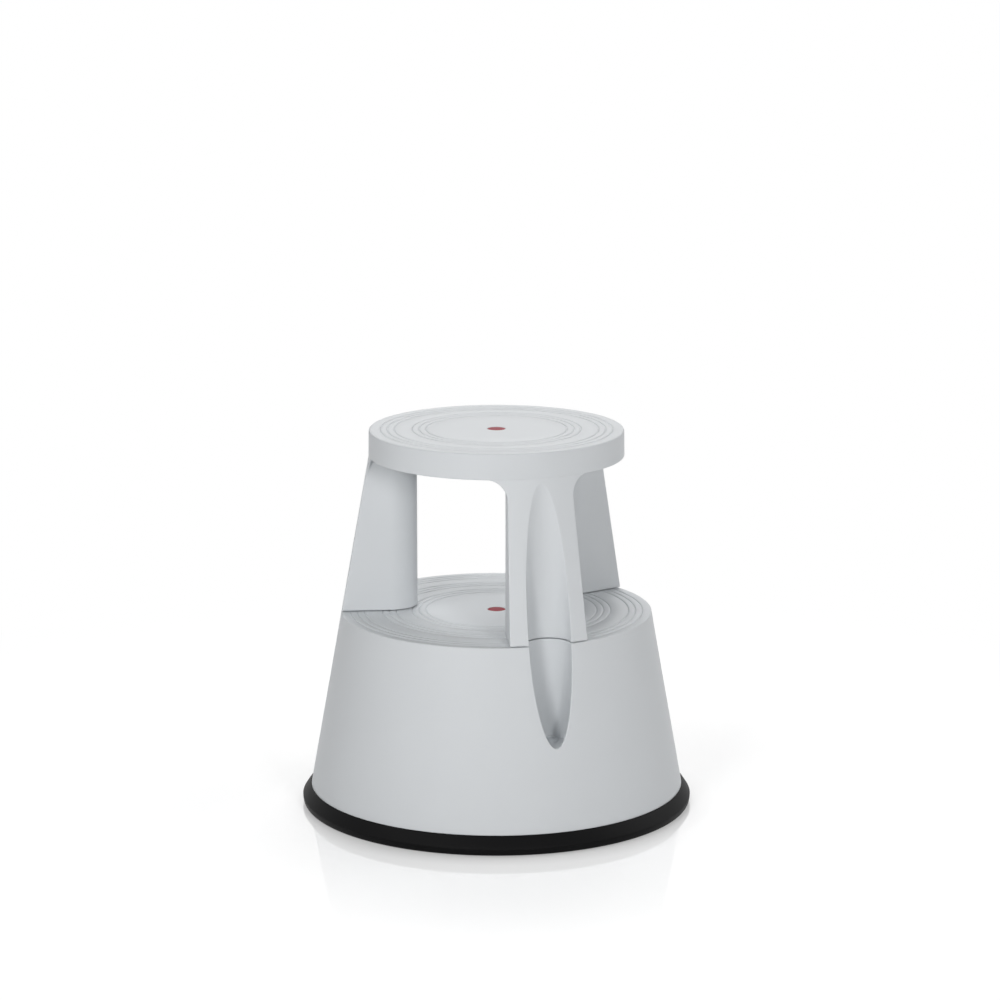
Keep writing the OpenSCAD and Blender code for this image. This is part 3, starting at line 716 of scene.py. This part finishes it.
# piece, pattern, the body it rides on, its material and the CAD node it replaces; # is the caster's number
casterParts = [
    ("housingCover", makeCover(coverLook), "stool", "dark_plastic", "housing_cover_#"),
    ("plungerBody", makePlunger(plungerLook), "plunger_#", "natural_nylon", "plunger_#"),
    ("coilSpring", makeSpring(springLook), "plunger_#", "spring_steel", "spring_#"),
    ("forkBody", makeFork(forkLook), "fork_#", "black_nylon", "fork_#"),
    ("axlePin", makeAxle(axleLook), "fork_#", "zinc_steel", "axle_#"),
    ("leftWheel", makeWheel(wheelLook, -1), "left_wheel_#", "wheel_plastic", "left_wheel_#"),
    ("rightWheel", makeWheel(wheelLook, 1), "right_wheel_#", "wheel_plastic", "right_wheel_#"),
]
casterPieces = []
for k in range(3):
    number = str(k + 1)
    for name, pattern, body, slot, node in casterParts:
        obj = smoothed(copyAt(pattern, atCaster(k)), 35)
        obj.name = obj.data.name = name + number
        casterPieces.append((obj, name, body.replace("#", number), slot, node.replace("#", number)))
for name, pattern, *rest in casterParts:
    bpy.data.objects.remove(pattern)

print("stage: materials")


def newGroup(name, inputs, outputs):
    group = bpy.data.node_groups.new(name, "ShaderNodeTree")
    for label, kind, default in inputs:
        socket = group.interface.new_socket(label, in_out="INPUT", socket_type=kind)
        if default is not None:
            socket.default_value = default
    for label, kind in outputs:
        group.interface.new_socket(label, in_out="OUTPUT", socket_type=kind)
    return group, group.nodes.new("NodeGroupInput"), group.nodes.new("NodeGroupOutput")


def makeGrainGroup():
    # fine moulded grain, with a broad faint change of gloss and tone over the surface
    inputs = [("Vector", "NodeSocketVector", None), ("Scale", "NodeSocketFloat", 1500.0),
              ("Color", "NodeSocketColor", None), ("Tone", "NodeSocketFloat", 0.03),
              ("Roughness", "NodeSocketFloat", 0.5), ("Spread", "NodeSocketFloat", 0.04)]
    outputs = [("Color", "NodeSocketColor"), ("Height", "NodeSocketFloat"), ("Roughness", "NodeSocketFloat")]
    group, gin, gout = newGroup("mouldGrain", inputs, outputs)
    fine = group.nodes.new("ShaderNodeTexNoise")
    fine.inputs["Detail"].default_value = 2.0
    broad = group.nodes.new("ShaderNodeTexNoise")
    broad.inputs["Scale"].default_value = 14.0
    spread, scaled, toned = [group.nodes.new("ShaderNodeMath") for _ in range(3)]
    spread.operation, scaled.operation, toned.operation = "SUBTRACT", "MULTIPLY_ADD", "MULTIPLY_ADD"
    spread.inputs[1].default_value = 0.5
    toned.inputs[2].default_value = 1.0
    tone = group.nodes.new("ShaderNodeHueSaturation")
    link = group.links.new
    link(gin.outputs["Vector"], fine.inputs["Vector"])
    link(gin.outputs["Vector"], broad.inputs["Vector"])
    link(gin.outputs["Scale"], fine.inputs["Scale"])
    link(broad.outputs["Fac"], spread.inputs[0])
    link(spread.outputs[0], scaled.inputs[0])
    link(gin.outputs["Spread"], scaled.inputs[1])
    link(gin.outputs["Roughness"], scaled.inputs[2])
    link(spread.outputs[0], toned.inputs[0])
    link(gin.outputs["Tone"], toned.inputs[1])
    link(toned.outputs[0], tone.inputs["Value"])
    link(gin.outputs["Color"], tone.inputs["Color"])
    link(tone.outputs["Color"], gout.inputs["Color"])
    link(fine.outputs["Fac"], gout.inputs["Height"])
    link(scaled.outputs[0], gout.inputs["Roughness"])
    return group


grainGroup = makeGrainGroup()


def plasticLook(name, color, roughness, grain=0.0, grainScale=1500.0, metallic=0.0, specular=0.5, tone=0.03):
    made = bpy.data.materials.new(name)
    made.use_nodes = True
    nodes, links = made.node_tree.nodes, made.node_tree.links
    shader = nodes["Principled BSDF"]
    shader.inputs["Metallic"].default_value = metallic
    shader.inputs["Specular IOR Level"].default_value = specular
    place = nodes.new("ShaderNodeTexCoord")
    group = nodes.new("ShaderNodeGroup")
    group.node_tree = grainGroup
    group.inputs["Scale"].default_value = grainScale
    group.inputs["Roughness"].default_value = roughness
    group.inputs["Color"].default_value = (*color, 1)
    group.inputs["Tone"].default_value = tone
    links.new(place.outputs["Object"], group.inputs["Vector"])
    links.new(group.outputs["Roughness"], shader.inputs["Roughness"])
    links.new(group.outputs["Color"], shader.inputs["Base Color"])
    if grain:
        bump = nodes.new("ShaderNodeBump")
        bump.inputs["Strength"].default_value = 1.0
        bump.inputs["Distance"].default_value = grain * mm
        links.new(group.outputs["Height"], bump.inputs["Height"])
        links.new(bump.outputs["Normal"], shader.inputs["Normal"])
    return made


# colour, roughness and the depth of the grain in millimetres
looks = {
    "grey_plastic": plasticLook("greyPlastic", (0.69, 0.713, 0.732), 0.5, grain=0.03, specular=0.3),
    "black_rubber": plasticLook("blackRubber", (0.0025, 0.0025, 0.0028), 0.5, grain=0.03, specular=0.08,
                                tone=0.3),
    "red_plastic": plasticLook("redPlastic", (0.32, 0.02, 0.036), 0.35, specular=0.04),
    "dark_plastic": plasticLook("darkPlastic", (0.06, 0.06, 0.065), 0.5, grain=0.02),
    "natural_nylon": plasticLook("naturalNylon", (0.62, 0.59, 0.5), 0.4),
    "black_nylon": plasticLook("blackNylon", (0.02, 0.02, 0.021), 0.45, grain=0.02),
    "wheel_plastic": plasticLook("wheelPlastic", (0.035, 0.035, 0.037), 0.4, grain=0.01, tone=0.2),
    "zinc_steel": plasticLook("zincSteel", (0.58, 0.59, 0.6), 0.3, metallic=1.0, tone=0.08),
    "spring_steel": plasticLook("springSteel", (0.3, 0.3, 0.31), 0.35, metallic=1.0, tone=0.15),
}


def finished(obj, body, slot, *nodes):
    obj.data.materials.clear()
    obj.data.materials.append(looks[slot])
    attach(obj, body)
    if nodes:
        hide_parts(*nodes)
    return obj


finished(upperShell, "stool", "grey_plastic", "upper_shell")
finished(baseShell, "stool", "grey_plastic", "base_shell")
finished(bumper, "stool", "black_rubber", "bumper_ring")
finished(caps[0], "stool", "red_plastic", "upper_cap")
finished(caps[1], "stool", "red_plastic", "lower_cap")
finished(legScrews, "stool", "zinc_steel", "leg_screws")
finished(coverScrews, "stool", "zinc_steel", "cover_screws")
for obj, name, body, slot, node in casterPieces:
    finished(obj, body, slot, node)
    if name == "coilSpring":
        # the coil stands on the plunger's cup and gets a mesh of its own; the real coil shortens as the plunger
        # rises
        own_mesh(obj)
for part in frame["record"]["subparts"]:
    node = frame["nodes"][part["node"]]
    if not node.hide_render:
        node.data.materials.clear()
        node.data.materials.append(looks[part["material_slot"]])

print("stage: floor, light and camera")
# distances in metres from the stool's middle; the mirror image grows over "near" and fades out over "wide"
stageLook = {"cameraD": 3.857, "cameraH": 1.193, "azimuth": -19.75, "down": 12.356, "turn": 0.0587, "lens": 126.53,
             "floorColor": 0.78, "lift": 0.5, "mirrorRough": 0.03, "near": (0.22, 0.25), "mirror": (0.38, 0.25),
             "wide": (0.25, 0.58), "far": (0.45, 1.0), "world": 0.01, "lampD": 2.6, "lampZ": 0.22}
# azimuth and elevation in degrees, size in metres and power in watts
lamps = {"keyLeft": (-39.75, 17, 0.5, 18.5), "keyRight": (0.25, 17, 0.5, 16.1), "leftLight": (-80, 45, 1.8, 17.1),
         "rightLight": (80.25, 30, 1.8, 19.5), "backLight": (160.25, 45, 1.8, 34.0)}


def makeFloor(v):
    # white for the camera, with the shadow and a mirror image that fades away from the stool
    bpy.ops.mesh.primitive_plane_add(size=60)
    floor = bpy.context.object
    floor.name = "floor"
    made = bpy.data.materials.new("floorWhite")
    made.use_nodes = True
    nodes, links = made.node_tree.nodes, made.node_tree.links
    nodes.remove(nodes["Principled BSDF"])

    def node(kind, **values):
        item = nodes.new(kind)
        for key, value in values.items():
            item.inputs[key].default_value = value
        return item

    matt = node("ShaderNodeBsdfDiffuse", Color=(v["floorColor"],) * 3 + (1,))
    mirror = node("ShaderNodeBsdfGlossy", Color=(1, 1, 1, 1), Roughness=v["mirrorRough"])
    place = node("ShaderNodeTexCoord")
    length = nodes.new("ShaderNodeVectorMath")
    length.operation = "LENGTH"
    near = node("ShaderNodeMapRange", **{"From Min": v["near"][0], "From Max": v["near"][1],
                                         "To Min": v["mirror"][0], "To Max": v["mirror"][1]})
    wide = node("ShaderNodeMapRange", **{"From Min": v["wide"][0], "From Max": v["wide"][1],
                                         "To Min": 1.0, "To Max": 0.0})
    share = nodes.new("ShaderNodeMath")
    share.operation = "MULTIPLY"
    path = nodes.new("ShaderNodeLightPath")
    seen = nodes.new("ShaderNodeMath")
    seen.operation = "MAXIMUM"
    seenShare = nodes.new("ShaderNodeMath")
    seenShare.operation = "MULTIPLY"
    lift = node("ShaderNodeEmission", Strength=v["lift"])
    dark = node("ShaderNodeEmission", Strength=0.0)
    lifted = nodes.new("ShaderNodeMixShader")
    summed = nodes.new("ShaderNodeAddShader")
    mixed = nodes.new("ShaderNodeMixShader")
    far = node("ShaderNodeMapRange", **{"From Min": v["far"][0], "From Max": v["far"][1]})
    far.interpolation_type = "SMOOTHERSTEP"
    farSeen = nodes.new("ShaderNodeMath")
    farSeen.operation = "MULTIPLY"
    glow = node("ShaderNodeEmission", Strength=1.0)
    ended = nodes.new("ShaderNodeMixShader")
    out = nodes["Material Output"]
    link = links.new
    link(place.outputs["Object"], length.inputs[0])
    for ramp in (near, wide, far):
        link(length.outputs["Value"], ramp.inputs["Value"])
    link(near.outputs["Result"], share.inputs[0])
    link(wide.outputs["Result"], share.inputs[1])
    link(share.outputs[0], seenShare.inputs[0])
    link(path.outputs["Is Camera Ray"], seenShare.inputs[1])
    link(path.outputs["Is Camera Ray"], seen.inputs[0])
    link(path.outputs["Is Glossy Ray"], seen.inputs[1])
    link(seen.outputs[0], lifted.inputs["Fac"])
    link(dark.outputs[0], lifted.inputs[1])
    link(lift.outputs[0], lifted.inputs[2])
    link(matt.outputs[0], summed.inputs[0])
    link(lifted.outputs[0], summed.inputs[1])
    link(seenShare.outputs[0], mixed.inputs["Fac"])
    link(summed.outputs[0], mixed.inputs[1])
    link(mirror.outputs[0], mixed.inputs[2])
    link(far.outputs["Result"], farSeen.inputs[0])
    link(seen.outputs[0], farSeen.inputs[1])
    link(farSeen.outputs[0], ended.inputs["Fac"])
    link(mixed.outputs[0], ended.inputs[1])
    link(glow.outputs[0], ended.inputs[2])
    link(ended.outputs[0], out.inputs["Surface"])
    floor.data.materials.append(made)
    return floor


def makeWorld(v):
    world = bpy.data.worlds.new("room")
    world.use_nodes = True
    bpy.context.scene.world = world
    nodes, links = world.node_tree.nodes, world.node_tree.links
    back = nodes["Background"]
    back.inputs["Color"].default_value = (1, 1, 1, 1)
    back.inputs["Strength"].default_value = v["world"]
    seen = nodes.new("ShaderNodeBackground")
    path = nodes.new("ShaderNodeLightPath")
    either = nodes.new("ShaderNodeMath")
    either.operation = "MAXIMUM"
    mix = nodes.new("ShaderNodeMixShader")
    links.new(path.outputs["Is Camera Ray"], either.inputs[0])
    links.new(path.outputs["Is Glossy Ray"], either.inputs[1])
    links.new(either.outputs[0], mix.inputs["Fac"])
    links.new(back.outputs["Background"], mix.inputs[1])
    links.new(seen.outputs["Background"], mix.inputs[2])
    links.new(mix.outputs["Shader"], nodes["World Output"].inputs["Surface"])


def makeLamp(name, azimuth, elevation, size, power, v):
    # a square lamp that looks at the middle of the stool
    a, e, away = math.radians(azimuth), math.radians(elevation), v["lampD"]
    bpy.ops.object.light_add(type="AREA")
    lamp = bpy.context.object
    lamp.name = name
    lamp.data.shape = "SQUARE"
    lamp.data.size = size
    lamp.data.energy = power
    lamp.location = (away * math.sin(a) * math.cos(e), -away * math.cos(a) * math.cos(e),
                     v["lampZ"] + away * math.sin(e))
    lamp.rotation_euler = (math.pi / 2 - e, 0, a)
    return lamp


def makeCamera(v):
    a = math.radians(v["azimuth"])
    bpy.ops.object.camera_add(location=(math.sin(a) * v["cameraD"], -math.cos(a) * v["cameraD"], v["cameraH"]),
                              rotation=(math.radians(90 - v["down"]), 0, a - math.radians(v["turn"])))
    camera = bpy.context.object
    camera.name = "camera"
    camera.data.lens = v["lens"]
    camera.data.sensor_width = 36
    bpy.context.scene.camera = camera


makeFloor(stageLook)
makeWorld(stageLook)
for name, (azimuth, elevation, size, power) in lamps.items():
    makeLamp(name, azimuth, elevation, size, power, stageLook)
makeCamera(stageLook)
bpy.context.scene.view_settings.view_transform = "Standard"
